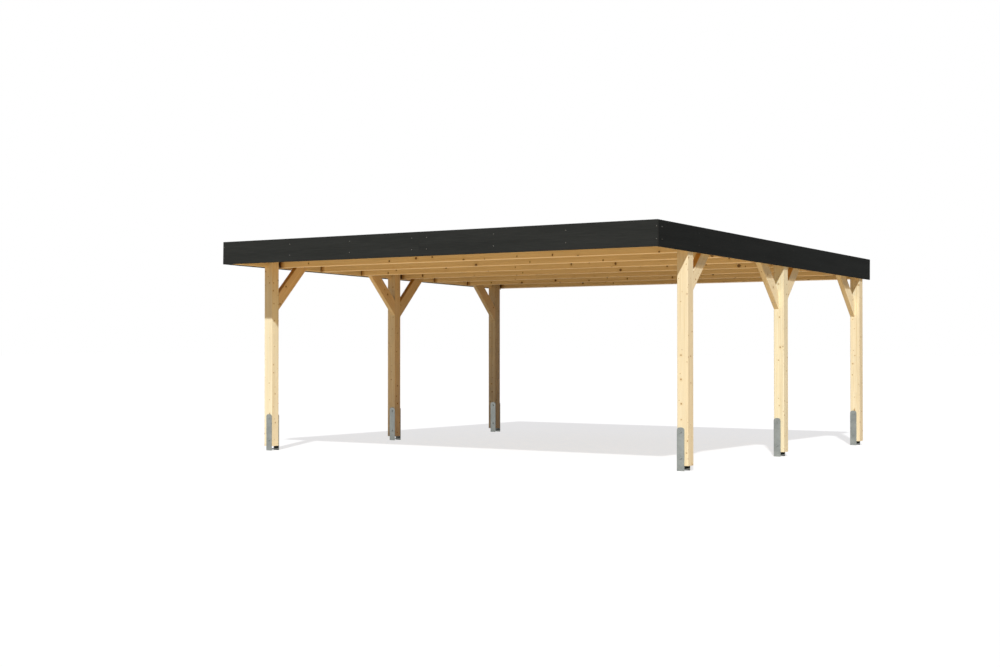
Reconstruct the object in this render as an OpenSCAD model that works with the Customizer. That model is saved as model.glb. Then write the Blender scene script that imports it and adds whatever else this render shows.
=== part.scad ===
// Double carport: a flat timber roof on six posts, with knee braces, steel post anchors,
// a dark fascia on all four sides and ribbed roof sheets that fall to the back.
// Millimetres, +Z up, front towards -Y. The origin is on the ground, under the middle of the roof.

/* [Roof] */
// Width of the roof over the side fascia boards
roof_w = 5625; // [4800:5:6200]
// Fall of the roof towards the back, in degrees
roof_fall = 1; // [0.5:0.1:3]
// Height of the front fascia's lower edge above the ground
eaves_h = 2179; // [1900:1:2600]
// From the front fascia's face to the front posts
front_overhang = 677; // [300:1:900]
// From the back posts to the back fascia's face
back_overhang = 211; // [190:1:500]

/* [Posts] */
// Side of the square posts
post_w = 120; // [100:1:160]
// From the front of one post to the front of the next behind it
post_pitch = 2385; // [2100:5:2800]
// Gap between the ground and the foot of a post
foot_gap = 52; // [30:1:150]
// How far the post's tongue stops short of the purlin's top
tongue_short = 30; // [5:1:100]
// Chamfer along the edges of posts, braces, purlins and rafters
edge_ease = 4; // [1:0.5:8]

/* [Purlins and rafters] */
// Thickness of the purlins that carry the roof on each side
purlin_t = 60; // [45:1:80]
// Height of the purlins
purlin_h = 200; // [160:1:240]
// Height of the purlins' underside above the fascia's lower edge
purlin_rise = 9; // [4:1:40]
// Thickness of the rafters that run from purlin to purlin
rafter_t = 60; // [40:1:80]
// Height of the rafters, level with the purlins at the top
rafter_h = 200; // [140:1:240]
// Rafters between one post and the next
rafters_between = 2; // [1:1:2]
// Gap between a post and the rafter right behind it
rafter_gap = 38; // [0:1:60]

/* [Knee braces] */
// Thickness of the braces
brace_t = 60; // [40:1:80]
// Height of the braces, square to their length
brace_h = 140; // [80:1:160]
// How far a brace laps up the purlin's inner face
brace_lap = 75; // [40:1:140]
// Space between the tip of a brace and the rafter in front of it
brace_clear = 7; // [5:1:120]

/* [Post anchors] */
// Width of the anchor's plates
anchor_w = 80; // [60:1:100]
// Height of the plates above the ground
anchor_h = 430; // [250:1:600]
// Thickness of the plates
plate_t = 8; // [4:0.5:12]
// Thickness of the web between the plates
web_t = 8; // [5:0.5:15]
// Height of the web's underside above the ground
web_rise = 12; // [0:1:14]
// Radius of the plates' upper corners
corner_r = 28; // [5:0.5:29]

/* [Fascia] */
// Thickness of the fascia boards
fascia_t = 20; // [14:1:30]
// Height of the front and side fascia boards
fascia_h = 258; // [244:1:340]
// Chamfer along the edges of the fascia boards
fascia_ease = 2; // [0.5:0.5:5]
// Gap at the joint between the two halves of a long board
fascia_joint = 1; // [0.2:0.1:5]
// Height of the back board's lower edge above the side boards' lower edge
back_rise = 11; // [0:1:60]
// How far the back board's top lies under the sheets
back_drop = 2; // [0:1:40]

/* [Roof sheets] */
// Number of sheets side by side
sheet_count = 5; // [4:1:6]
// Ribs from one lap to the next
ribs_per_sheet = 8; // [5:1:9]
// Height of the ribs
rib_h = 20; // [12:1:20]
// Width of a rib's crown
rib_crown = 30; // [16:1:36]
// Width of a rib's sloped flank, seen from above
rib_flank = 15; // [8:1:20]
// Thickness of the sheet
sheet_t = 1; // [0.6:0.1:2]
// Width of the flat lip beyond a lap
lap_lip = 14; // [6:1:20]
// Clearance between two sheets at a lap
lap_gap = 0.3; // [0.1:0.1:1]
// Clearance between the sheets and the boards beside them
sheet_gap = 3; // [1:0.5:8]

/* [Hidden] */
ROWS = ["front", "middle", "back"];
SIDES = ["left", "right"];
TURN = 45;
LAST_ROW = len(ROWS) - 1;
plan_d = front_overhang + LAST_ROW * post_pitch + post_w + back_overhang;
roof_d = plan_d / cos(roof_fall);
outer_x = roof_w / 2 - fascia_t;
purlin_x = outer_x - purlin_t;
post_x = outer_x - post_w;
purlin_top = purlin_rise + purlin_h;
rafter_pitch = post_pitch / (rafters_between + 1);
roof_mid_y = -fascia_h * sin(roof_fall) / 2;
roof_mid_z = eaves_h - roof_d * sin(roof_fall) / 2;
roof_front = -roof_d / 2;
roof_back = roof_d / 2;
post_blank_h = eaves_h + fascia_h;
brace_reach = rafter_pitch - post_w - rafter_gap - rafter_t - brace_clear;
brace_cut = brace_h / cos(TURN);
sheet_cover = (2 * outer_x - 2 * sheet_gap) / sheet_count;
rib_pitch = sheet_cover / ribs_per_sheet;
lap_lift = sheet_t + lap_gap;

// Front face of a row of posts
function post_y(row) = -plan_d / 2 + front_overhang + row * post_pitch;

// Height above the ground, at y, of the plane that lies w above the fascia's lower edge
function roof_z(w, y) = roof_mid_z - tan(roof_fall) * (y - roof_mid_y) + w / cos(roof_fall);

// Place along the fall of the point of the fascia's lower plane at y
function roof_u(y) = (y - roof_mid_y) / cos(roof_fall);

// Front faces of the rafters along the fall: one behind the front board, one behind each post
// with others between, and one before the back board
RAFTER_U = concat(
    [roof_front + fascia_t],
    [for (row = [0:LAST_ROW], k = [0:rafters_between])
        if (row < LAST_ROW || k == 0)
            roof_u(post_y(row) + post_w + rafter_gap + k * rafter_pitch)],
    [roof_back - fascia_t - rafter_t]
);

// Braces as [name, row of the post, way it leans]: 1 to the back, -1 to the front
BRACES = [
    ["front", 0, 1],
    ["middle_fore", 1, -1],
    ["middle_aft", 1, 1],
    ["back", 2, -1]
];

// Upright bar of section w by d with chamfered edges, from its lower front left corner
module eased_bar(w, d, length, ease) {
    linear_extrude(height = length)
        polygon([
            [ease, 0], [w - ease, 0], [w, ease], [w, d - ease],
            [w - ease, d], [ease, d], [0, d - ease], [0, ease]
        ]);
}

// Bar along X: t thick front to back, h high, from its lower front left corner
module cross_bar(t, h, length, ease) {
    rotate([90, 0, 90]) eased_bar(t, h, length, ease);
}

// Bar along Y: t wide, h high, from its lower front left corner
module long_bar(t, h, length, ease) {
    translate([0, 0, h]) rotate([-90, 0, 0]) eased_bar(t, h, length, ease);
}

// Places its children in the tilted frame of the roof, where z counts from the fascia's lower edge
module on_roof() {
    translate([0, roof_mid_y, roof_mid_z]) rotate([-roof_fall, 0, 0]) children();
}

// Pieces are drawn on the right-hand side and mirrored for the left
module on_side(side) {
    if (side == "left") mirror([1, 0, 0]) children();
    else children();
}

// Post with its outer half notched under the purlin and its inner half running up beside it
module post(side, row) {
    span = 2 * post_w;
    color("burlywood") on_side(side) difference() {
        translate([post_x, post_y(row), foot_gap])
            eased_bar(post_w, post_w, post_blank_h - foot_gap, edge_ease);
        on_roof() translate([purlin_x, roof_u(post_y(row)) - post_w, purlin_rise])
            cube([span, post_w + span, post_blank_h]);
        on_roof() translate([post_x - post_w, roof_u(post_y(row)) - post_w, purlin_top - tongue_short])
            cube([post_w + span, post_w + span, post_blank_h]);
    }
}

// Plate of an anchor, standing on the ground with its two upper corners rounded
module anchor_plate() {
    rotate([90, 0, 0]) linear_extrude(height = plate_t) union() {
        square([anchor_w, anchor_h - corner_r]);
        translate([corner_r, 0]) square([anchor_w - 2 * corner_r, anchor_h]);
        for (x = [corner_r, anchor_w - corner_r])
            translate([x, anchor_h - corner_r]) circle(r = corner_r, $fn = 48);
    }
}

// Steel anchor: a plate on the post's front and back, and a web between them near the ground
module anchor(side, row) {
    color("darkgray") on_side(side) translate([post_x, post_y(row), 0]) union() {
        anchor_plate();
        translate([0, post_w + plate_t, 0]) anchor_plate();
        translate([0, -plate_t / 2, web_rise]) cube([anchor_w, post_w + plate_t, web_t]);
    }
}

// Knee brace at 45 degrees, cut to the post's face below and level with the roof above
module brace(side, row, way) {
    foot_y = post_y(row) + (way > 0 ? post_w : 0);
    tip_y = foot_y + way * brace_reach;
    head_w = purlin_rise + brace_lap;
    low_z = roof_z(head_w, tip_y) - brace_reach;
    shoulder = (roof_z(head_w, foot_y) - low_z - brace_cut) / (1 + way * tan(roof_fall));
    outline = [
        [foot_y, low_z],
        [foot_y, low_z + brace_cut],
        [foot_y + way * shoulder, low_z + brace_cut + shoulder],
        [tip_y, low_z + brace_reach]
    ];
    color("burlywood") on_side(side) intersection() {
        translate([purlin_x - brace_t, 0, 0]) rotate([90, 0, 90])
            linear_extrude(height = brace_t) polygon(outline);
        translate([purlin_x - brace_t, foot_y, low_z + brace_cut / 2]) rotate([-way * TURN, 0, 0])
            translate([0, -brace_h / 2, -brace_h])
                eased_bar(brace_t, brace_h, brace_reach / cos(TURN) + 2 * brace_h, edge_ease);
    }
}

// Purlin along one side, from the front board to the back board
module purlin(side) {
    color("burlywood") on_side(side) on_roof()
        translate([purlin_x, roof_front + fascia_t, purlin_rise])
            long_bar(purlin_t, purlin_h, roof_d - 2 * fascia_t, edge_ease);
}

// Rafter from purlin to purlin
module rafter(i) {
    color("tan") on_roof()
        translate([-purlin_x, RAFTER_U[i - 1], purlin_top - rafter_h])
            cross_bar(rafter_t, rafter_h, 2 * purlin_x, edge_ease);
}

// Half of the front fascia, from the joint in the middle to the corner
module fascia_front(side) {
    color("darkslategray") on_side(side) on_roof()
        translate([fascia_joint / 2, roof_front, 0])
            cross_bar(fascia_t, fascia_h, (roof_w - fascia_joint) / 2, fascia_ease);
}

// Side fascia, from the back of the front board to the roof's back edge
module fascia_side(side) {
    color("darkslategray") on_side(side) on_roof()
        translate([outer_x, roof_front + fascia_t, 0])
            long_bar(fascia_t, fascia_h, roof_d - fascia_t, fascia_ease);
}

// Half of the back board, between the side boards and under the ends of the sheets
module fascia_back(side) {
    color("darkslategray") on_side(side) on_roof()
        translate([fascia_joint / 2, roof_back - fascia_t, back_rise])
            cross_bar(fascia_t, purlin_top - back_drop - back_rise, outer_x - fascia_joint / 2, fascia_ease);
}

// Underside of one rib at x, lifted by lift
function rib(x, lift) = [
    [x - rib_crown / 2 - rib_flank, 0],
    [x - rib_crown / 2, rib_h + lift],
    [x + rib_crown / 2, rib_h + lift],
    [x + rib_crown / 2 + rib_flank, lift]
];

// Ribbed sheet whose first rib lies under the sheet before it and whose last rib lies over the next
module roof_sheet(i) {
    x0 = -outer_x + sheet_gap + (i - 1) * sheet_cover;
    x1 = x0 + sheet_cover;
    under_rib = [for (k = [1:3]) rib(x0, 0)[k]];
    over_rib = concat(rib(x1, lap_lift), [[x1 + rib_crown / 2 + rib_flank + lap_lip, lap_lift]]);
    underside = concat(
        i == 1 ? [[x0, 0]] : under_rib,
        [for (k = [1:ribs_per_sheet - 1], p = rib(x0 + k * rib_pitch, 0)) p],
        i == sheet_count ? [[x1, 0]] : over_rib
    );
    last = len(underside) - 1;
    top = [for (k = [last:-1:0]) underside[k] + [0, sheet_t]];
    length = roof_d - fascia_t - sheet_gap;
    color("dimgray") on_roof() translate([0, roof_back, purlin_top]) rotate([90, 0, 0])
        linear_extrude(height = length) polygon(concat(underside, top));
}

for (row = [0:LAST_ROW], side = SIDES) {
    post(side, row);
    anchor(side, row);
}
for (brace = BRACES, side = SIDES) {
    brace(side, brace[1], brace[2]);
}
for (side = SIDES) {
    purlin(side);
    fascia_front(side);
    fascia_side(side);
    fascia_back(side);
}
for (i = [1:len(RAFTER_U)]) {
    rafter(i);
}
for (i = [1:sheet_count]) {
    roof_sheet(i);
}
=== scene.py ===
import math
import random

import bpy
from mathutils import Matrix, Vector


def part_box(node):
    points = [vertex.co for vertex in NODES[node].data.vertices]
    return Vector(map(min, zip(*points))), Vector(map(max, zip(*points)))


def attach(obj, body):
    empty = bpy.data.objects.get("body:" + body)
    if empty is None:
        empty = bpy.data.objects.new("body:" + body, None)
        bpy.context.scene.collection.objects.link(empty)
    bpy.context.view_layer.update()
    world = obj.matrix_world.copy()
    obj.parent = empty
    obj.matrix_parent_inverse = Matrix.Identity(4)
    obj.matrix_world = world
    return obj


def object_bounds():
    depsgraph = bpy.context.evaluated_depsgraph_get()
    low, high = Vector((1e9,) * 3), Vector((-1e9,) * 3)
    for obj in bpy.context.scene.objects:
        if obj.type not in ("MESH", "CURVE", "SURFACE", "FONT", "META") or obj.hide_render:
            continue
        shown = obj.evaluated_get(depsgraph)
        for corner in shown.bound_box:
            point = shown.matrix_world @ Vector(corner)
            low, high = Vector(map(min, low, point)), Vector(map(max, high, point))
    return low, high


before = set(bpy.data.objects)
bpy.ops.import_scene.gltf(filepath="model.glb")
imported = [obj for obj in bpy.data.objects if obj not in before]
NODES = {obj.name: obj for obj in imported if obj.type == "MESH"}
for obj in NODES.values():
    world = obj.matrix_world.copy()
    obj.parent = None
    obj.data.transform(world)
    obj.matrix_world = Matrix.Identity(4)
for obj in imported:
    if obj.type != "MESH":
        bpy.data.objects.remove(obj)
cad_low, cad_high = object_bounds()

# Rows, sides and the way out of each along x, the way each brace leans from its foot (1 to the back, -1 to
# the front), and the rafters
ROWS = ("front", "middle", "back")
SIDES = ("left", "right")
OUTWARD = {"left": -1, "right": 1}
BRACES = {"front": 1, "middle_fore": -1, "middle_aft": 1, "back": -1}
RAFTERS = sorted(node for node in NODES if node.startswith("rafter_"))

# Sizes in metres. The roof falls to the back, and heights on it count from the fascia's lower edge
ROOF_FALL = math.radians(1.0)
RISE = math.sin(ROOF_FALL)
RUN = math.cos(ROOF_FALL)
ALONG = Vector((0, RUN, -RISE))
ABOVE = Vector((0, RISE, RUN))
POST_W = 0.120
FASCIA_T = 0.020
FASCIA_H = 0.258
BACK_BOARD_TOP = 0.207
SHEET_TOP = 0.210
SHEET_EDGE_X = -2.7895
SHEET_COUNT = 5
PANS_PER_SHEET = 8
FRONT_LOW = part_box("fascia_front_left")[0]
ROOF_FRONT_Y = FRONT_LOW.y
ROOF_FRONT_Z = FRONT_LOW.z + FASCIA_T * RISE

# How pieces lie: the turn that lays the pattern's z along them
QUARTER = math.pi / 2
UPRIGHT = (0, 0, 0)
CROSSWISE = (0, QUARTER, 0)
DOWN_THE_ROOF = (-QUARTER - ROOF_FALL, 0, 0)

SEED = 41
WHITE = (1, 1, 1, 1)


def srgb(red, green, blue):
    """Linear colour of an sRGB colour given in 0 to 255."""
    def linear(c):
        c = c / 255
        return c / 12.92 if c <= 0.04045 else ((c + 0.055) / 1.055) ** 2.4
    return (linear(red), linear(green), linear(blue), 1)


def middle(node):
    low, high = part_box(node)
    return (low + high) / 2


def roof_point(x, along, above):
    """Point of the tilted roof: along counts back from the front board, above from the fascia's low edge."""
    return Vector((x, ROOF_FRONT_Y + along * RUN + above * RISE, ROOF_FRONT_Z - along * RISE + above * RUN))


def along_of(y, above):
    """How far back on the roof a y lies, at a height above the fascia's lower edge."""
    return (y - ROOF_FRONT_Y - above * RISE) / RUN


# Shader building

# The colour sockets of a Mix node, among those of its other kinds
MIX_FACTOR = 0
MIX_FIRST = 6
MIX_SECOND = 7
MIX_COLOUR = 2


class Value:
    """A shader socket that takes part in arithmetic: each operator adds one Math node."""

    def __init__(self, nodes, socket):
        self.nodes = nodes
        self.socket = socket

    def math(self, operation, *terms):
        return self.nodes.add("ShaderNodeMath", {"operation": operation}, dict(enumerate(terms)))

    def other(self, name):
        """Another output of the same node."""
        return Value(self.nodes, self.socket.node.outputs[name])

    def __add__(self, term):
        return self.math("ADD", self, term)

    __radd__ = __add__

    def __sub__(self, term):
        return self.math("SUBTRACT", self, term)

    def __rsub__(self, term):
        return self.math("SUBTRACT", term, self)

    def __mul__(self, term):
        return self.math("MULTIPLY", self, term)

    __rmul__ = __mul__

    def __truediv__(self, term):
        return self.math("DIVIDE", self, term)

    def __pow__(self, term):
        return self.math("POWER", self, term)

    def fract(self):
        return self.math("FRACT", self)

    def floor(self):
        return self.math("FLOOR", self)

    def size(self):
        return self.math("ABSOLUTE", self)

    def step(self, low, high):
        """0 below low, 1 above high and smooth between them."""
        return self.nodes.add("ShaderNodeMapRange", {"interpolation_type": "SMOOTHSTEP"},
                              {"Value": self, "From Min": low, "From Max": high})


class Nodes:
    """A node tree being filled: add() makes a node, sets it up and gives one of its outputs."""

    def __init__(self, tree):
        self.tree = tree
        tree.nodes.clear()

    def add(self, kind, settings=None, inputs=None, output=0):
        made = self.tree.nodes.new(kind)
        for key, value in (settings or {}).items():
            setattr(made, key, value)
        for key, value in (inputs or {}).items():
            if isinstance(value, Value):
                self.tree.links.new(value.socket, made.inputs[key])
            else:
                made.inputs[key].default_value = value
        return Value(self, made.outputs[output]) if len(made.outputs) else None

    def mix(self, factor, first, second):
        return self.add("ShaderNodeMix", {"data_type": "RGBA"},
                        {MIX_FACTOR: factor, MIX_FIRST: first, MIX_SECOND: second}, MIX_COLOUR)

    def looked_at(self):
        """1 for the camera, a reflection or a view through glass, 0 for light on its way to the object."""
        camera = self.add("ShaderNodeLightPath", output="Is Camera Ray")
        mirrored = camera.math("MAXIMUM", camera.other("Is Glossy Ray"), camera.other("Is Transmission Ray"))
        return camera.math("MAXIMUM", camera, mirrored)


class Finish(Nodes):
    """A material being made."""

    def __init__(self, name):
        self.material = bpy.data.materials.new(name)
        self.material.use_nodes = True
        super().__init__(self.material.node_tree)

    def place(self, centre=(0, 0, 0), turn=UPRIGHT):
        """Object coordinates about a centre, turned with the piece."""
        coordinates = self.add("ShaderNodeTexCoord", output="Object")
        return self.add("ShaderNodeMapping", {"vector_type": "TEXTURE"},
                        {"Vector": coordinates, "Location": centre, "Rotation": turn})

    def facing(self, turn=UPRIGHT):
        """The way the surface looks, turned with the piece."""
        normal = self.add("ShaderNodeTexCoord", output="Normal")
        return self.add("ShaderNodeMapping", {"vector_type": "TEXTURE"}, {"Vector": normal, "Rotation": turn})

    def split(self, vector):
        x = self.add("ShaderNodeSeparateXYZ", None, {0: vector})
        return x, x.other("Y"), x.other("Z")

    def join(self, x, y, z):
        return self.add("ShaderNodeCombineXYZ", None, {0: x, 1: y, 2: z})

    def noise(self, vector, scale, detail):
        return self.add("ShaderNodeTexNoise", None, {"Vector": vector, "Scale": scale, "Detail": detail})

    def grain(self, point, across, along, detail=2.0):
        """Noise drawn out along z: so many cells to the metre across the grain, and along it."""
        x, y, z = point
        return self.noise(self.join(x * across, y * across, z * along), 1.0, detail)

    def warm_shade(self, share, colour, warm_shade):
        """A colour of which a share is multiplied by a warm tint of painted shade."""
        warm_shaded = self.add("ShaderNodeVectorMath", {"operation": "MULTIPLY"}, {0: colour, 1: warm_shade})
        return self.mix(share, colour, warm_shaded)

    def tint(self, colour, factor):
        """A colour times a number that may change over the surface."""
        return self.add("ShaderNodeVectorMath", {"operation": "SCALE"}, {0: colour, "Scale": factor})

    def surface(self, colour, roughness, height, height_m, **constants):
        """Ends the material in a Principled shader with a bump of a height in metres."""
        bump = self.add("ShaderNodeBump", None, {"Height": height, "Strength": 1.0, "Distance": height_m})
        inputs = {"Base Color": colour, "Roughness": roughness, "Normal": bump}
        inputs.update({key.replace("_", " "): value for key, value in constants.items()})
        return self.end(self.add("ShaderNodeBsdfPrincipled", None, inputs))

    def end(self, shader):
        self.add("ShaderNodeOutputMaterial", None, {"Surface": shader})
        return self.material


def paint(piece, material):
    piece.data.materials.clear()
    piece.data.materials.append(material)


# Timber

POST_TONES = {"pale": srgb(239, 231, 201), "late": srgb(220, 204, 162), "knot": srgb(172, 134, 80)}
# Beams are warmer than posts: partly their own timber, partly painted warm shade under the roof
BEAM_TONES = {"pale": srgb(241, 219, 171), "late": srgb(220, 190, 133), "knot": srgb(100, 64, 26)}
DARK_KNOT_TONES = dict(POST_TONES, knot=srgb(120, 80, 40))
# Painted light: a pale tone for the upper and lower faces of rafters, made pale by light from below
RAFTER_FACE_LIGHT = srgb(250, 240, 215)

# How squarely a face has to look along an axis to count a little, and wholly, as looking that way
LOOKS_ALONG = (0.6, 0.8)
LOOKS_UP = (0.4, 0.6)

# What differs by chance from piece to piece: where the pattern starts, where the pith lies and the tone
PATTERN_START = (0, 40)
PITH_ASIDE = (-0.03, 0.03)
PITH_OFF = (0.05, 0.09)
TONE_CHANCE = (0.97, 1.02)

# Growth rings: their width, how far they wander, ripple and bend round knots, and the dark part of each
RING_W = 0.0042
RING_WANDER = 0.030
RING_RIPPLE = 0.0015
RING_BEND = 0.008
LATE_STARTS = (0.35, 0.88)
LATE_ENDS = (0.92, 1.0)

# Glued posts: thickness of a layer, what changes the pattern from one to the next, and how far apart their
# tones may be
LAYER_T = 0.040
LAYER_SHIFT = 3.7
LAYER_PITH = 0.5
LAYER_CHANGE = 0.37
LAYER_TONE = 0.05

# Shares of colour that rings, streaks, swirls, painted light on faces and knots bring in
LATE_SHARE = 0.55
STREAK_SHARE = 0.42
STREAK_BAND = (0.38, 0.75)
SWIRL_SHARE = 0.55
FACE_LIGHT_SHARE = 0.9
KNOT_SHARE = 0.85

# The shade of plain timber, and what fibres, clouds and the rims of knots change in it
PLAIN_SHADE = 0.88
FIBRE_SHADE = 0.10
CLOUD_SHADE = 0.14
RIM_SHADE = 0.25

# Roughness, relief and gloss
TIMBER_ROUGH = 0.72
LATE_SMOOTH = 0.12
KNOT_SMOOTH = 0.15
FIBRE_RELIEF = 0.35
LATE_RELIEF = 0.45
KNOT_RELIEF = 0.3
RELIEF_M = 0.0006
TIMBER_GLOSS = 0.25

# Knots: width and length of the patch that may hold one, smallest and largest radius, least and most
# stretch along the grain, and the share of patches that has one
POST_KNOTS = {"patch": (0.075, 0.120), "radius": (0.004, 0.0105), "stretch": (0.5, 1.2), "share": 0.62}
BRACE_KNOTS = {"patch": (0.090, 0.210), "radius": (0.005, 0.012), "stretch": (0.6, 1.3), "share": 0.60}
BEAM_KNOTS = {"patch": (0.130, 0.300), "radius": (0.009, 0.023), "stretch": (0.5, 1.2), "share": 0.52}

# How knots are scattered and how uneven their outline is, and the shares of the radius between which a knot
# ends, its dark rim begins and the grain round it calms down
KNOT_SCATTER = 0.9
KNOT_SIDE_SHIFT = 7.31
KNOT_LUCK_BLEND = 0.02
KNOT_WOBBLE = 0.45
KNOT_WOBBLE_CELLS = 110.0
KNOT_END = (0.75, 1.05)
KNOT_RIM = (0.45, 0.85)
KNOT_SWIRL = (0.7, 3.4)

# Painted warm shade under the roof, strongest at the heads of posts and braces: what is left of each
# colour, and how far below its head a piece has the whole of it, and none
POST_HEAD_SHADE = (0.90, 0.76, 0.62)
BRACE_HEAD_SHADE = (1.0, 0.79, 0.58)
HEAD_SHADE_WHOLE = 0.10
HEAD_SHADE_NONE = 0.80

# The height at which a post with painted light and shade, paler at the foot and darker at the head, has its
# own tone
FADE_Z = 1.20

# Painted shade on sides above the line of the eaves, where the roof shades them: how much darker they
# are, and over what height that sets in. The tops of braces get their painted shade about the same line.
EAVES_SHADE = 0.30
EAVES_BLEND = 0.05
TOP_BLEND = 0.02

# Painted shade at the ends, where rafters meet purlins and posts: how dark they are, over what length that
# sets in, how far a fainter warm shade reaches before it and what colour it leaves
END_SHADE = 0.75
END_SHADE_BLEND = 0.002
END_SHADE_SPREAD = 0.070
END_SHADE_TINT = (0.50, 0.35, 0.22)


class Timber(Finish):
    """Planed spruce with its grain along the piece: rings, fibres, streaks and knots, in one solid pattern.
    Its sides are the faces that look along its own x. Painted light and shade come before coat() ends it."""

    def __init__(self, name, centre, turn, draw, tones, knots, layer_t=None, edge=None):
        super().__init__(name)
        x, y, z = self.split(self.place(centre, turn))
        self.from_middle = z.size()
        self.shades = []
        z = z + draw.uniform(*PATTERN_START)
        pith_x = draw.uniform(*PITH_ASIDE)
        pith_y = draw.choice((-1, 1)) * draw.uniform(*PITH_OFF)
        self.chance = draw.uniform(*TONE_CHANCE)
        swirl = self.grow_knots(x, y, z, turn, knots, draw)

        # Each layer of a glued post is a board of its own, a little paler or darker than the next
        self.layer_tone = None
        if layer_t:
            layer = (x / layer_t + 0.5).floor()
            x = x - layer * layer_t
            z = z + layer * LAYER_SHIFT
            pith_y = pith_y * LAYER_PITH
            change = (layer * LAYER_CHANGE + draw.random()).fract()
            self.layer_tone = change * LAYER_TONE - LAYER_TONE / 2

        # Growth rings about a pith beside the piece, wandering along it and bending round the knots
        point = (x, y, z)
        wander = self.grain(point, across=5.0, along=0.55) - 0.5
        ripple = self.grain(point, across=60.0, along=4.0, detail=1.0) - 0.5
        from_x = x - pith_x
        from_y = y - pith_y
        ring = (from_x * from_x + from_y * from_y) ** 0.5 + wander * RING_WANDER + ripple * RING_RIPPLE
        phase = ((ring + swirl * RING_BEND) / RING_W).fract()
        self.late = phase.step(*LATE_STARTS) * (1 - phase.step(*LATE_ENDS))

        streak = self.grain(point, across=42.0, along=0.8)
        self.fibre = self.grain(point, across=900.0, along=18.0)
        self.cloud = self.grain(point, across=7.0, along=2.2)
        dark = self.late * LATE_SHARE + streak.step(*STREAK_BAND) * STREAK_SHARE
        colour = self.mix(dark, tones["pale"], tones["late"])
        colour = self.mix(swirl * SWIRL_SHARE, colour, tones["late"])
        # Painted light: an even pale tone on the sides
        if edge:
            colour = self.mix(self.side * FACE_LIGHT_SHARE, colour, edge)
        self.colour = self.mix(self.knot * KNOT_SHARE, colour, tones["knot"])

    def grow_knots(self, x, y, z, turn, knots, draw):
        """Finds how much of a knot and of its rim shows at a point, and whether the face there is a side.
        Gives how much the grain is pushed aside round the knot."""
        look_x, _, look_end = self.split(self.facing(turn))
        self.side = look_x.size().step(*LOOKS_ALONG)
        across = x * (1 - self.side) + y * self.side + self.side * KNOT_SIDE_SHIFT
        across = across + draw.uniform(*PATTERN_START)
        wide, long = knots["patch"]
        cell = self.add("ShaderNodeTexVoronoi", {"voronoi_dimensions": "2D"},
                        {"Vector": self.join(across / wide, z / long, 0.0), "Scale": 1.0,
                         "Randomness": KNOT_SCATTER})
        knot_x, knot_z, _ = self.split(cell.other("Position"))
        luck, girth, stretch = self.split(cell.other("Color"))
        least, most = knots["stretch"]
        off_x = across - knot_x * wide
        off_z = (z - knot_z * long) / (stretch * (most - least) + least)
        small, large = knots["radius"]
        radius = girth * girth * (large - small) + small
        outline = self.join(off_x * KNOT_WOBBLE_CELLS, off_z * KNOT_WOBBLE_CELLS, knot_z)
        wobble = (self.noise(outline, 1.0, 2.0) - 0.5) * KNOT_WOBBLE
        ratio = (off_x * off_x + off_z * off_z) ** 0.5 / radius + wobble
        share = knots["share"]
        there = (1 - luck.step(share, share + KNOT_LUCK_BLEND)) * (1 - look_end.size().step(*LOOKS_ALONG))
        self.knot = (1 - ratio.step(*KNOT_END)) * there
        self.rim = self.knot * ratio.step(*KNOT_RIM)
        return (1 - ratio.step(*KNOT_SWIRL)) * there

    def level(self):
        """Height above the ground."""
        return self.split(self.place())[2]

    def warm_head_shade(self, warm_shade, head_z, low, head, front, reach):
        """Paints warm shade on the sides by a share low down and another at the head, and on the other faces
        by a share at the head that reaches so far down."""
        below = head_z - self.level()
        on_sides = head - below.step(HEAD_SHADE_WHOLE, HEAD_SHADE_NONE) * (head - low)
        on_fronts = (1 - below.step(HEAD_SHADE_WHOLE, reach)) * front
        share = self.side * on_sides + (1 - self.side) * on_fronts
        self.colour = self.warm_shade(share, self.colour, warm_shade)

    def fade(self, each_metre):
        """Paints light and shade: the foot paler and the head darker, by a share for each metre."""
        self.shades.append((FADE_Z - self.level()) * each_metre + 1)

    def shade_top(self, tone, from_z=None):
        """Paints shade on faces that look up, all of them or from a height on."""
        _, _, up = self.split(self.facing())
        on_top = up.step(*LOOKS_UP)
        if from_z:
            on_top = on_top * self.level().step(from_z - TOP_BLEND, from_z + TOP_BLEND)
        self.colour = self.mix(on_top, self.colour, tone)

    def shade_eaves(self, from_z):
        """Paints shade on the sides from the line of the eaves on."""
        above = self.level().step(from_z, from_z + EAVES_BLEND)
        self.shades.append(1 - above * self.side * EAVES_SHADE)

    def shade_ends(self, start):
        """Paints both ends dark with shade from a distance to the middle on, and a fainter warm shade before
        it.
        """
        fading_shade = self.from_middle.step(start - END_SHADE_SPREAD, start)
        self.colour = self.warm_shade(fading_shade, self.colour, END_SHADE_TINT)
        dark_end = self.from_middle.step(start - END_SHADE_BLEND, start + END_SHADE_BLEND)
        self.shades.append(1 - dark_end * END_SHADE)

    def coat(self, tone=1.0, side_light=0.0):
        """Ends the timber with a tone for all of it and painted light on its sides; a negative one is shade.
        """
        plain = PLAIN_SHADE * tone * self.chance
        shade = self.fibre * FIBRE_SHADE + self.cloud * CLOUD_SHADE + plain - self.rim * RIM_SHADE
        if self.layer_tone:
            shade = shade + self.layer_tone
        # Painted light on the sides, painted shade where it is negative
        if side_light:
            shade = shade + self.side * side_light
        for factor in self.shades:
            shade = shade * factor
        rough = TIMBER_ROUGH - self.late * LATE_SMOOTH - self.knot * KNOT_SMOOTH
        height = self.fibre * FIBRE_RELIEF + self.late * LATE_RELIEF - self.knot * KNOT_RELIEF
        return self.surface(self.tint(self.colour, shade), rough, height, RELIEF_M,
                            Specular_IOR_Level=TIMBER_GLOSS)
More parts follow.
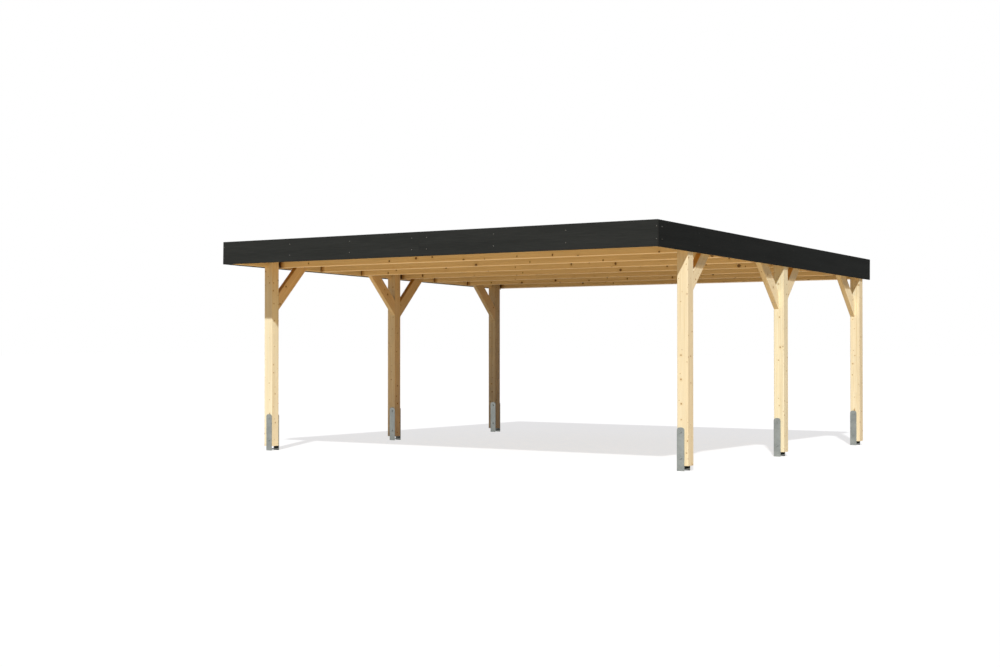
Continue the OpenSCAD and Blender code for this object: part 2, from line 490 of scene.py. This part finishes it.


# Posts, each with painted light and shade of its own: how much paler or darker each is as a whole and on
# its sides, its tint, by how much it fades for each metre, and the shares of its painted warm shade at the
# head
POST_LOOK = {"tone": 1.0, "side_light": 0.0, "tint": (1.0, 1.0, 1.0), "fade": 0.0,
             "warm_head_shade": {"low": 0.0, "head": 0.0, "front": 0.60, "reach": 0.30}}
POST_LOOKS = {
    "front_left": {"tone": 1.03, "side_light": 0.21, "tint": (0.99, 1.03, 1.08),
                   "warm_head_shade": {"low": 0.0, "head": 1.0, "front": 0.7, "reach": 0.55}},
    "middle_left": {"side_light": 0.18, "fade": 0.17,
                    "warm_head_shade": {"low": 0.85, "head": 1.0, "front": 0.6, "reach": 0.55}},
    "back_left": {"tone": 0.83, "side_light": -0.14, "fade": 0.17,
                  "warm_head_shade": {"low": 0.65, "head": 1.0, "front": 0.5, "reach": 0.55}},
    "front_right": {"tone": 0.98, "side_light": 0.04},
    "middle_right": {"side_light": 0.06, "tint": (1.0, 1.04, 1.07)},
    "back_right": {},
}

# Braces: those on the left have painted warm shade and tones that paint them darker to the back, those
# on the right painted light on their sides up to the line of the eaves, which lies so far below their heads
LEFT_BRACE_TONES = {"front": 1.04, "middle_fore": 1.0, "middle_aft": 0.90, "back": 0.77}
LEFT_BRACE_HEAD_SHADE = {"low": 0.5, "head": 1.0, "front": 0.35, "reach": 0.80}
LEFT_BRACE_TOP_SHADE = srgb(198, 144, 66)
RIGHT_BRACE_TONE = 0.95
RIGHT_BRACE_SIDE_LIGHT = 0.11
RIGHT_BRACE_TOP_SHADE = srgb(241, 186, 100)
EAVES_DROP = 0.2225

# Rafters: the tones of the first and the last, painted shade darker to the back, and the length of an end
# painted dark with shade
FIRST_RAFTER_TONE = 1.11
LAST_RAFTER_TONE = 0.94
RAFTER_END_SHADE = 0.012


def tinted(tones, tint):
    """Tones with their colours multiplied by a tint."""
    return {name: tuple(c * t for c, t in zip(colour, tint + (1,))) for name, colour in tones.items()}


def dress_posts(draw):
    for row in ROWS:
        for side in SIDES:
            node = f"post_{row}_{side}"
            look = dict(POST_LOOK, **POST_LOOKS[f"{row}_{side}"])
            wood = Timber(node, middle(node), UPRIGHT, draw, tinted(POST_TONES, look["tint"]), POST_KNOTS,
                          layer_t=LAYER_T)
            # Painted warm shade towards the head
            wood.warm_head_shade(POST_HEAD_SHADE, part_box(node)[1].z, **look["warm_head_shade"])
            # Painted light at the foot and painted shade at the head
            if look["fade"]:
                wood.fade(look["fade"])
            paint(NODES[node], wood.coat(look["tone"], look["side_light"]))


def dress_left_brace(node, turn, draw, tone):
    wood = Timber(node, middle(node), turn, draw, DARK_KNOT_TONES, BRACE_KNOTS)
    # Painted warm shade towards the head
    wood.warm_head_shade(BRACE_HEAD_SHADE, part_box(node)[1].z, **LEFT_BRACE_HEAD_SHADE)
    # Painted shade on the faces that look up
    wood.shade_top(LEFT_BRACE_TOP_SHADE)
    paint(NODES[node], wood.coat(tone))


def dress_right_brace(node, turn, draw):
    wood = Timber(node, middle(node), turn, draw, POST_TONES, BRACE_KNOTS)
    # Painted shade above the line of the eaves, on the sides and on the tops
    eaves_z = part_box(node)[1].z - EAVES_DROP
    wood.shade_top(RIGHT_BRACE_TOP_SHADE, eaves_z)
    wood.shade_eaves(eaves_z)
    paint(NODES[node], wood.coat(RIGHT_BRACE_TONE, RIGHT_BRACE_SIDE_LIGHT))


def dress_braces(draw):
    for brace, way in BRACES.items():
        turn = (-way * QUARTER / 2, 0, 0)
        dress_left_brace(f"brace_{brace}_left", turn, draw, LEFT_BRACE_TONES[brace])
        dress_right_brace(f"brace_{brace}_right", turn, draw)


def dress_purlins(draw):
    for side in SIDES:
        node = f"purlin_{side}"
        wood = Timber(node, middle(node), DOWN_THE_ROOF, draw, BEAM_TONES, BEAM_KNOTS)
        paint(NODES[node], wood.coat())


def dress_rafters(draw):
    """Rafters get painted shade, darker to the back, and ends painted dark. One behind a pair of posts is
    painted dark from the posts' inner faces on.
    """
    change = (FIRST_RAFTER_TONE - LAST_RAFTER_TONE) / (len(RAFTERS) - 1)
    post_backs = [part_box(f"post_{row}_right")[1].y for row in ROWS]
    post_inner_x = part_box("post_front_right")[0].x
    for count, node in enumerate(RAFTERS):
        low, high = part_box(node)
        wood = Timber(node, middle(node), CROSSWISE, draw, BEAM_TONES, BEAM_KNOTS, edge=RAFTER_FACE_LIGHT)
        behind_post = any(0 < low.y - back < POST_W for back in post_backs)
        # Painted shade at the ends, and behind a post
        wood.shade_ends(post_inner_x if behind_post else high.x - RAFTER_END_SHADE)
        # Painted shade, darker to the back
        paint(NODES[node], wood.coat(FIRST_RAFTER_TONE - count * change))


def dress_timber():
    draw = random.Random(SEED)
    dress_posts(draw)
    dress_braces(draw)
    dress_purlins(draw)
    dress_rafters(draw)


# Coated boards

# The colours of the coat on front and back boards and on side boards, and their tones. The side boards'
# lower tone is painted shade, and so is the small change in their colours.
BOARD_COAT = (srgb(36, 39, 39), srgb(47, 50, 50))
SIDE_COAT = (srgb(34, 38, 39), srgb(45, 49, 50))
FRONT_BOARD_TONE = 1.06
SIDE_BOARD_SHADE = 0.56

# How ridges and clouds change the colour and the shade, and how dark the painted shade on the inward face of
# a side board is
RIDGE_BAND = (0.3, 0.7)
RIDGE_SHARE = 0.6
BOARD_SHADE = 0.88
BOARD_CLOUD = 0.25
INWARD_LOOKS = (0.3, 0.7)
INWARD_SHADE = 0.7

# Roughness, relief with specks to the metre, and gloss of the coat
COAT_ROUGH = 0.74
RIDGE_ROUGH = 0.16
CLOUD_SMOOTH = 0.06
COAT_SPECKS = 620.0
RIDGE_RELIEF = 0.8
SPECK_RELIEF = 0.2
COAT_RELIEF_M = 0.0008
COAT_GLOSS = 0.04


def fascia_coat(name, centre, turn, draw, coat, tone, inward=0):
    """Boards under a dark matt coat: the grain still shows as fine ridges along the board. On a side board
    the face that looks inward along x is darker with painted shade."""
    f = Finish(name)
    x, y, z = f.split(f.place(centre, turn))
    point = (x, y, z + draw.uniform(*PATTERN_START))
    ridge = f.grain(point, across=260.0, along=6.0, detail=3.0)
    board = f.grain(point, across=9.0, along=0.9)
    speck = f.noise(f.join(*point), COAT_SPECKS, 1.0)
    colour = f.mix(ridge.step(*RIDGE_BAND) * RIDGE_SHARE + board * (1 - RIDGE_SHARE), *coat)
    shade = board * BOARD_CLOUD + BOARD_SHADE * tone
    # Painted shade on the inward face
    if inward:
        look_x, _, _ = f.split(f.facing(turn))
        shade = shade * (1 - (look_x * inward).step(*INWARD_LOOKS) * INWARD_SHADE)
    rough = COAT_ROUGH + ridge * RIDGE_ROUGH - board * CLOUD_SMOOTH
    height = ridge * RIDGE_RELIEF + speck * SPECK_RELIEF
    return f.surface(f.tint(colour, shade), rough, height, COAT_RELIEF_M, Specular_IOR_Level=COAT_GLOSS)


def dress_boards():
    draw = random.Random(SEED + 1)
    for side, outward in OUTWARD.items():
        for board in (f"fascia_front_{side}", f"fascia_back_{side}"):
            paint(NODES[board], fascia_coat(board, middle(board), CROSSWISE, draw, BOARD_COAT,
                                            FRONT_BOARD_TONE))
        board = f"fascia_{side}"
        # Painted shade on the side boards
        paint(NODES[board], fascia_coat(board, middle(board), DOWN_THE_ROOF, draw, SIDE_COAT,
                                        SIDE_BOARD_SHADE, -outward))


# Metal

# Hot-dip zinc: its greys, crystals and patches of bloom to the metre, and what both do to colour, roughness
# and relief
ZINC_GREYS = (srgb(143, 147, 143), srgb(166, 170, 165))
ZINC_CRYSTALS = 85.0
ZINC_BLOOM = 9.0
BLOOM_BAND = (0.35, 0.7)
BLOOM_SHARE = 0.5
CRYSTAL_SHARE = 0.4
ZINC_ROUGH = 0.36
BLOOM_ROUGH = 0.14
CRYSTAL_ROUGH = 0.10
CRYSTAL_RELIEF = 0.3
ZINC_RELIEF_M = 0.0005

# Painted shade between the plates of an anchor: its colour and share, less on two of them. It ends just
# outside the post's faces, and mostly spares the edges that look to the right.
GAP_SHADE = srgb(34, 34, 32)
GAP_SHADE_SHARE = 0.9
LESS_GAP_SHADE = {"anchor_middle_left": 0.5, "anchor_back_left": 0.5}
GAP_SHADE_END = (POST_W / 2 + 0.0002, POST_W / 2 + 0.0010)
SPARED_LOOKS = (0.5, 0.7)
SPARED_SHARE = 0.8

# Screws: haze to the metre and how it roughens them, then bright zinc, dark steel and a darker copy of it
# with painted shade
SCREW_HAZE = 160.0
HAZE_ROUGH = 0.15
SCREW_RELIEF_M = 0.0002
BRIGHT_ZINC = {"greys": (srgb(150, 152, 148), srgb(188, 189, 184)), "rough": 0.30, "Metallic": 0.9}
DARK_STEEL = {"greys": (srgb(96, 98, 96), srgb(134, 136, 132)), "rough": 0.58, "Metallic": 0.2,
              "Specular_IOR_Level": 0.15}
SHADED_STEEL = dict(DARK_STEEL, greys=(srgb(40, 43, 43), srgb(56, 59, 58)))

# Roof sheets: colours of the coat above, of dust on it and of the underside, and what counts as above
SHEET_COAT = srgb(56, 59, 62)
SHEET_DUST = srgb(78, 80, 80)
SHEET_UNDER = srgb(120, 122, 120)
SHEET_LOOKS_UP = (-0.2, 0.1)

# Runs of dust to the metre across and along the fall, and what dust and the grain of the coat do
DUST_ACROSS = 30.0
DUST_ALONG = 1.6
DUST_BAND = (0.45, 0.8)
DUST_SHARE = 0.5
SHEET_GRAIN = 900.0
SHEET_SHADE = 0.96
GRAIN_SHADE = 0.08
SHEET_ROUGH = 0.46
DUST_ROUGH = 0.12
SHEET_RELIEF_M = 0.0001
SHEET_GLOSS = 0.4


def galvanised(name, middle_y=None, gap_shade=GAP_SHADE_SHARE):
    """Hot-dip zinc: crystals of slightly different grey and gloss under a thin dull bloom.
    Between the plates of an anchor, about its middle y, it is dark with painted shade."""
    f = Finish(name)
    here = f.place()
    crystal = f.add("ShaderNodeTexVoronoi", None, {"Vector": here, "Scale": ZINC_CRYSTALS})
    flake, _, _ = f.split(crystal.other("Color"))
    bloom = f.noise(here, ZINC_BLOOM, 3.0)
    colour = f.mix(bloom.step(*BLOOM_BAND) * BLOOM_SHARE + flake * CRYSTAL_SHARE, *ZINC_GREYS)
    # Painted shade between the plates
    if middle_y is not None:
        _, y, _ = f.split(here)
        inside = 1 - (y - middle_y).size().step(*GAP_SHADE_END)
        look_x, _, _ = f.split(f.facing())
        spared = look_x.step(*SPARED_LOOKS) * SPARED_SHARE
        colour = f.mix(inside * (1 - spared) * gap_shade, colour, GAP_SHADE)
    rough = ZINC_ROUGH + bloom * BLOOM_ROUGH + flake * CRYSTAL_ROUGH
    return f.surface(colour, rough, flake * CRYSTAL_RELIEF + bloom, ZINC_RELIEF_M, Metallic=1.0)


def screw_metal(name, greys, rough, **constants):
    """Zinc-plated or steel screws, or darker copies of them with painted shade."""
    f = Finish(name)
    haze = f.noise(f.place(), SCREW_HAZE, 2.0)
    return f.surface(f.mix(haze, *greys), rough + haze * HAZE_ROUGH, haze, SCREW_RELIEF_M, **constants)


def sheet_coat(name):
    """Coated roof sheet: matt dark grey above with faint runs of dust down the fall, paler below."""
    f = Finish(name)
    here = f.place()
    x, y, z = f.split(here)
    _, _, up = f.split(f.add("ShaderNodeNewGeometry", output="Normal"))
    dust = f.noise(f.join(x * DUST_ACROSS, y * DUST_ALONG, z), 1.0, 3.0)
    grain = f.noise(here, SHEET_GRAIN, 1.0)
    above = f.mix(dust.step(*DUST_BAND) * DUST_SHARE, SHEET_COAT, SHEET_DUST)
    colour = f.mix(up.step(*SHEET_LOOKS_UP), SHEET_UNDER, above)
    shade = grain * GRAIN_SHADE + SHEET_SHADE
    return f.surface(f.tint(colour, shade), SHEET_ROUGH + dust * DUST_ROUGH, grain, SHEET_RELIEF_M,
                     Specular_IOR_Level=SHEET_GLOSS)


def dress_metal():
    coat = sheet_coat("sheet_coat")
    for node, piece in NODES.items():
        if node.startswith("anchor_"):
            paint(piece, galvanised(node, middle(node).y, LESS_GAP_SHADE.get(node, GAP_SHADE_SHARE)))
        if node.startswith("roof_sheet_"):
            paint(piece, coat)


# Fasteners: each is modelled once on the Z axis with its seat at the origin, then copied to its places

BOLT = {"width": 0.019, "head": 0.0075, "nut": 0.0105, "shank": 0.006, "end": 0.007, "pitch": 0.00175}
WASHER = {"radius": 0.014, "thick": 0.0025}
BOARD_SCREW = {"radius": 0.0048, "height": 0.0025, "recess": 0.0025}
BRACE_SCREW = {"radius": 0.0050, "height": 0.0008, "recess": 0.0026}
SHEET_SCREW = {"width": 0.008, "head": 0.0055, "flange": 0.0062, "flange_t": 0.0008, "seal": 0.0085,
               "seal_t": 0.0028}
CLOSE = 1e-6
SMOOTH_BELOW = math.radians(35)

# Corners round a hexagon, a washer, and threads and screw heads
HEX_SIDES = 6
WASHER_SIDES = 24
SCREW_SIDES = 12

# Chamfers: the share of the height that each takes up, and how far it draws the top in
HEX_CHAMFER = 0.15
HEX_DRAW = 0.88
WASHER_CHAMFER = 0.3
WASHER_DRAW = 0.95
SEAL_CHAMFER = 0.6
SEAL_DRAW = 0.82
FLANGE_SUNK = 0.1
FLANGE_DRAW = 0.80

# A bolt's thread: its root and its tip as shares of what they are cut from, and the start of the first turn
THREAD_ROOT = 0.86
THREAD_TIP = 0.85
THREAD_START = 0.25

# A star screw's head: how deep it is sunk, the share of its height below its dome, the dome's two steps as
# shares of the height with how far each draws in, and how its rim, lobes and recess narrow it
STAR_SUNK = 0.0005
STAR_EDGE = 0.3
STAR_DOME = ((0.45, 0.90), (0.25, 0.80))
STAR_RIM = 0.22
STAR_LOBE = 0.68
STAR_TAPER = 0.85


def alone(piece):
    """Only this piece selected, and active."""
    bpy.ops.object.select_all(action="DESELECT")
    piece.select_set(True)
    bpy.context.view_layer.objects.active = piece


def drum(sides, radius, low, high):
    """A many-sided drum on the Z axis to shape further."""
    bpy.ops.object.select_all(action="DESELECT")
    bpy.ops.mesh.primitive_cylinder_add(vertices=sides, radius=radius, depth=high - low,
                                        end_fill_type="NGON", location=(0, 0, (low + high) / 2))
    bpy.ops.object.transform_apply(location=True, rotation=True, scale=True)
    return bpy.context.object


def pick_top(piece):
    """Edit mode with just the face on the axis at the top selected. Gives its height."""
    alone(piece)
    bpy.ops.object.mode_set(mode="EDIT")
    bpy.ops.mesh.select_mode(type="FACE")
    bpy.ops.mesh.select_all(action="DESELECT")
    bpy.ops.object.mode_set(mode="OBJECT")
    top = max(point.co.z for point in piece.data.vertices)
    for face in piece.data.polygons:
        on_axis = math.hypot(face.center.x, face.center.y) < CLOSE
        face.select = on_axis and abs(face.center.z - top) < CLOSE
    bpy.ops.object.mode_set(mode="EDIT")
    return top


def grow(rise, spread):
    """Extrudes the selected top face by a rise, then widens or narrows it about the axis."""
    bpy.ops.mesh.extrude_region_move(TRANSFORM_OT_translate={"value": (0, 0, rise)})
    bpy.ops.transform.resize(value=(spread, spread, 1), center_override=(0, 0, 0))


def done():
    bpy.ops.object.mode_set(mode="OBJECT")


def drawn_in(piece, rise, spread):
    """Carries a piece's top up by a rise and draws it in."""
    pick_top(piece)
    grow(rise, spread)
    done()
    return piece


def as_one(pieces):
    """Joins pieces into the first."""
    bpy.ops.object.select_all(action="DESELECT")
    for piece in pieces:
        piece.select_set(True)
    bpy.context.view_layer.objects.active = pieces[0]
    bpy.ops.object.join()
    return bpy.context.object


def hexagon(width, low, height):
    """Head or nut: six flats with the top corners chamfered."""
    corner = width / 2 / math.cos(math.pi / HEX_SIDES)
    chamfer = height * HEX_CHAMFER
    return drawn_in(drum(HEX_SIDES, corner, low, low + height - chamfer), chamfer, HEX_DRAW)


def washer():
    chamfer = WASHER["thick"] * WASHER_CHAMFER
    disc = drum(WASHER_SIDES, WASHER["radius"], 0, WASHER["thick"] - chamfer)
    return drawn_in(disc, chamfer, WASHER_DRAW)


def bolt_head():
    """Hexagon head on a washer."""
    return as_one([washer(), hexagon(BOLT["width"], WASHER["thick"], BOLT["head"])])


def bolt_nut():
    """Nut on a washer, with the threaded end of the bolt standing out of it."""
    thick = WASHER["thick"]
    top = thick + BOLT["nut"]
    pitch = BOLT["pitch"]
    thread = drum(SCREW_SIDES, BOLT["shank"] * THREAD_ROOT, thick, top + pitch * THREAD_START)
    pick_top(thread)
    for _ in range(int(BOLT["end"] / pitch)):
        grow(pitch / 2, 1 / THREAD_ROOT)
        grow(pitch / 2, THREAD_ROOT)
    grow(pitch / 2, THREAD_TIP)
    done()
    return as_one([washer(), hexagon(BOLT["width"], thick, BOLT["nut"]), thread])


def star_screw(radius, height, recess):
    """Round screw head with a domed edge and a six-lobed recess."""
    piece = drum(SCREW_SIDES, radius, -STAR_SUNK, height * STAR_EDGE)
    pick_top(piece)
    for share, spread in STAR_DOME:
        grow(height * share, spread)
    bpy.ops.mesh.inset(thickness=radius * STAR_RIM)
    done()

    # Every other corner of the inner face is drawn in, and the star that is left is sunk
    top = pick_top(piece)
    done()
    for point in piece.data.vertices:
        point.select = False
    for edge in piece.data.edges:
        edge.select = False
    inner = [face for face in piece.data.polygons if face.select][0]
    inner.select = False
    for count, index in enumerate(list(inner.vertices)):
        piece.data.vertices[index].select = count % 2 == 0
    bpy.ops.object.mode_set(mode="EDIT")
    bpy.ops.mesh.select_mode(type="VERT")
    bpy.ops.transform.resize(value=(STAR_LOBE, STAR_LOBE, 1), center_override=(0, 0, top))
    done()
    return drawn_in(piece, -recess, STAR_TAPER)


def sheet_screw():
    """Roofing screw: a flanged hexagon head on a soft seal."""
    seal_t = SHEET_SCREW["seal_t"]
    flange_t = SHEET_SCREW["flange_t"]
    chamfer = seal_t * SEAL_CHAMFER
    seal = drawn_in(drum(SCREW_SIDES, SHEET_SCREW["seal"], 0, seal_t - chamfer), chamfer, SEAL_DRAW)
    flange = drum(SCREW_SIDES, SHEET_SCREW["flange"], seal_t * (1 - FLANGE_SUNK), seal_t + flange_t)
    flange = drawn_in(flange, flange_t, FLANGE_DRAW)
    return as_one([seal, flange, hexagon(SHEET_SCREW["width"], seal_t, SHEET_SCREW["head"])])


def seat(point, outward):
    """Where a fastener goes: its seat at a point, its head looking outward."""
    return Matrix.Translation(point) @ Vector(outward).to_track_quat("Z", "Y").to_matrix().to_4x4()


def fasten(name, places, material):
    """One piece of the object from copies of modelled fasteners, given as pairs of a model and its seat."""
    copies = []
    for model, place in places:
        alone(model)
        bpy.ops.object.duplicate(linked=False)
        bpy.context.object.matrix_world = place
        copies.append(bpy.context.object)
    bpy.ops.object.select_all(action="DESELECT")
    for copy in copies:
        copy.select_set(True)
    bpy.context.view_layer.objects.active = copies[0]
    bpy.ops.object.transform_apply(location=True, rotation=True, scale=True)
    piece = as_one(copies)
    piece.name = name
    piece.data.name = name
    bpy.ops.object.shade_smooth_by_angle(angle=SMOOTH_BELOW)
    paint(piece, material)
    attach(piece, "root")


# Places of the fasteners: bolts below the top of an anchor, screws below a brace's top and up its under face,
# on either side of the middle, and screws in the boards, across from the middle and up from the lower edge
BOLTS_BELOW_TOP = (0.045, 0.305)
BRACE_MIDDLE = 0.099
HEAD_SCREWS_BELOW = 0.050
HEAD_SCREWS_ASIDE = (-0.035, 0.035)
FOOT_SCREWS_UP = 0.075
FOOT_SCREWS_ASIDE = (-0.015, 0.015)
FRONT_SCREWS_X = (0.097, 0.940, 1.797, 2.800)
BACK_SCREWS_X = (0.097, 0.940, 1.797, 2.755)
BOARD_SCREW_HEIGHTS = (0.072, 0.194)
BACK_SCREW_HEIGHTS = (0.060, 0.158)
CORNER_SCREW = 0.089
SIDE_SCREW_COUNT = 8


def bolt_anchors(zinc):
    head = bolt_head()
    nut = bolt_nut()
    for row in ROWS:
        for side in SIDES:
            low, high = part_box(f"anchor_{row}_{side}")
            x = (low.x + high.x) / 2
            places = []
            for below in BOLTS_BELOW_TOP:
                places.append((head, seat((x, low.y, high.z - below), (0, -1, 0))))
                places.append((nut, seat((x, high.y, high.z - below), (0, 1, 0))))
            fasten(f"anchor_bolts_{row}_{side}", places, zinc)
    return [head, nut]


def screw_braces(zinc):
    """Two screws through each brace's head into the purlin, and two through its foot into the post."""
    screw = star_screw(**BRACE_SCREW)
    for brace, way in BRACES.items():
        for side in SIDES:
            low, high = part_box(f"brace_{brace}_{side}")
            inner_x, inward = (high.x, 1) if side == "left" else (low.x, -1)
            foot_y = low.y if way > 0 else high.y
            head_z = high.z - HEAD_SCREWS_BELOW
            run = head_z - low.z - BRACE_MIDDLE
            places = []
            for off in HEAD_SCREWS_ASIDE:
                spot = (inner_x, foot_y + way * (run + off), head_z)
                places.append((screw, seat(spot, (inward, 0, 0))))
            for off in FOOT_SCREWS_ASIDE:
                spot = ((low.x + high.x) / 2 + off, foot_y + way * FOOT_SCREWS_UP, low.z + FOOT_SCREWS_UP)
                places.append((screw, seat(spot, (0, way, -1))))
            fasten(f"brace_screws_{brace}_{side}", places, zinc)
    return [screw]


def across_board(screw, across, along, heights, outward):
    """Places of screws on both halves of a front or back board."""
    places = []
    for x in across:
        for height in heights:
            for sign in OUTWARD.values():
                places.append((screw, seat(roof_point(sign * x, along, height), outward)))
    return places


def down_side(screw, outward, along):
    """Places of a pair of screws on a side board, so far back."""
    spots = [roof_point(outward * cad_high.x, along, height) for height in BOARD_SCREW_HEIGHTS]
    return [(screw, seat(spot, (outward, 0, 0))) for spot in spots]


def screw_boards(steel, shaded):
    """Steel screws in the front and back boards and at the front corners, darker ones with painted shade
    along the sides.
    """
    screw = star_screw(**BOARD_SCREW)
    places = across_board(screw, FRONT_SCREWS_X, 0, BOARD_SCREW_HEIGHTS, -ALONG)
    for outward in OUTWARD.values():
        places += down_side(screw, outward, CORNER_SCREW)
    fasten("fascia_screws_front", places, steel)

    roof_d = along_of(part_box("fascia_left")[1].y, FASCIA_H)
    step = (roof_d - 2 * CORNER_SCREW) / (SIDE_SCREW_COUNT - 1)
    for side, outward in OUTWARD.items():
        places = []
        for count in range(1, SIDE_SCREW_COUNT):
            places += down_side(screw, outward, CORNER_SCREW + count * step)
        # Darker screws with painted shade
        fasten(f"fascia_screws_{side}", places, shaded)

    back = along_of(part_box("fascia_back_left")[1].y, BACK_BOARD_TOP)
    places = across_board(screw, BACK_SCREWS_X, back, BACK_SCREW_HEIGHTS, ALONG)
    fasten("fascia_screws_back", places, steel)
    return [screw]


def screw_sheets(coat):
    """Screws in every other pan of each sheet, into each rafter."""
    screw = sheet_screw()
    pitch = -2 * SHEET_EDGE_X / SHEET_COUNT / PANS_PER_SHEET
    rafter_lines = [along_of(middle(node).y, SHEET_TOP / 2) for node in RAFTERS]
    for sheet in range(SHEET_COUNT):
        places = []
        for pan in range(0, PANS_PER_SHEET, 2):
            x = SHEET_EDGE_X + (sheet * PANS_PER_SHEET + pan + 0.5) * pitch
            for along in rafter_lines:
                places.append((screw, seat(roof_point(x, along, SHEET_TOP), ABOVE)))
        fasten(f"sheet_screws_{sheet + 1}", places, coat)
    return [screw]


def add_fasteners():
    models = bolt_anchors(galvanised("bolt_zinc"))
    models += screw_braces(screw_metal("bright_zinc", **BRIGHT_ZINC))
    models += screw_boards(screw_metal("dark_steel", **DARK_STEEL),
                           screw_metal("shaded_steel", **SHADED_STEEL))
    models += screw_sheets(sheet_coat("screw_coat"))
    for model in models:
        alone(model)
        bpy.ops.object.delete()


# Stage

# The camera that took the picture, fitted to the posts and the fascia: pixels, millimetres, metres, degrees
IMAGE_W = 1000
FOCAL_PX = 1505.7
SENSOR_W = 36.0
CAMERA_AT = (9.4465, -15.5925, 1.212)
CAMERA_PITCH = 0.561
CAMERA_YAW = 33.557
CAMERA_SEES = 1000.0

# Sunlight: the way it travels, its strength and softness, and the pale fill around it
SUN_AT = (0, 0, 8)
SUN_TRAVEL = Vector((-0.50, 1.0, -0.908))
SUN_STRENGTH = 3.25
SUN_SOFTNESS = math.radians(1.5)
FILL_COLOUR = (0.176, 0.163, 0.189, 1)

# The floor: what it throws back to the object, its own pale colour, its glow where it is looked at, and the
# share of its own colour there, which takes the shadow
FLOOR_SIZE = 400.0
FLOOR_BOUNCE = (0.98, 0.71, 0.40, 1)
FLOOR_PALE = (0.9, 0.9, 0.9, 1)
FLOOR_GLOW = 1.23
FLOOR_SHADOW_SHARE = 0.42


def make_world():
    """Even pale fill on the object, and white where the camera or a reflection looks past it."""
    world = bpy.data.worlds.new("studio")
    bpy.context.scene.world = world
    world.use_nodes = True
    nodes = Nodes(world.node_tree)
    colour = nodes.mix(nodes.looked_at(), FILL_COLOUR, WHITE)
    background = nodes.add("ShaderNodeBackground", None, {"Color": colour})
    nodes.add("ShaderNodeOutputWorld", None, {"Surface": background})


def make_floor():
    """Pale floor: white where the camera sees it lit, darker in the shadow, and a warm bounce upwards."""
    bpy.ops.mesh.primitive_plane_add(size=FLOOR_SIZE, location=(0, 0, 0))
    floor = bpy.context.object
    floor.name = "floor"
    f = Finish("floor")
    bounce = f.add("ShaderNodeBsdfDiffuse", None, {"Color": FLOOR_BOUNCE})
    pale = f.add("ShaderNodeBsdfDiffuse", None, {"Color": FLOOR_PALE})
    glow = f.add("ShaderNodeEmission", None, {"Color": WHITE, "Strength": FLOOR_GLOW})
    shown = f.add("ShaderNodeMixShader", None, {0: FLOOR_SHADOW_SHARE, 1: glow, 2: pale})
    paint(floor, f.end(f.add("ShaderNodeMixShader", None, {0: f.looked_at(), 1: bounce, 2: shown})))


def make_sun():
    bpy.ops.object.light_add(type="SUN", location=SUN_AT)
    sun = bpy.context.object
    sun.name = "sun"
    sun.data.energy = SUN_STRENGTH
    sun.data.angle = SUN_SOFTNESS
    sun.rotation_euler = SUN_TRAVEL.to_track_quat("-Z", "Y").to_euler()


def make_camera():
    bpy.ops.object.camera_add(location=CAMERA_AT)
    camera = bpy.context.object
    camera.rotation_euler = (math.radians(90 + CAMERA_PITCH), 0, math.radians(CAMERA_YAW))
    camera.data.sensor_width = SENSOR_W
    camera.data.lens = FOCAL_PX / IMAGE_W * SENSOR_W
    camera.data.clip_end = CAMERA_SEES
    bpy.context.scene.camera = camera


bpy.ops.object.select_all(action="DESELECT")
dress_timber()
dress_boards()
dress_metal()
add_fasteners()
make_world()
make_floor()
make_sun()
make_camera()
bpy.context.scene.view_settings.view_transform = "Standard"
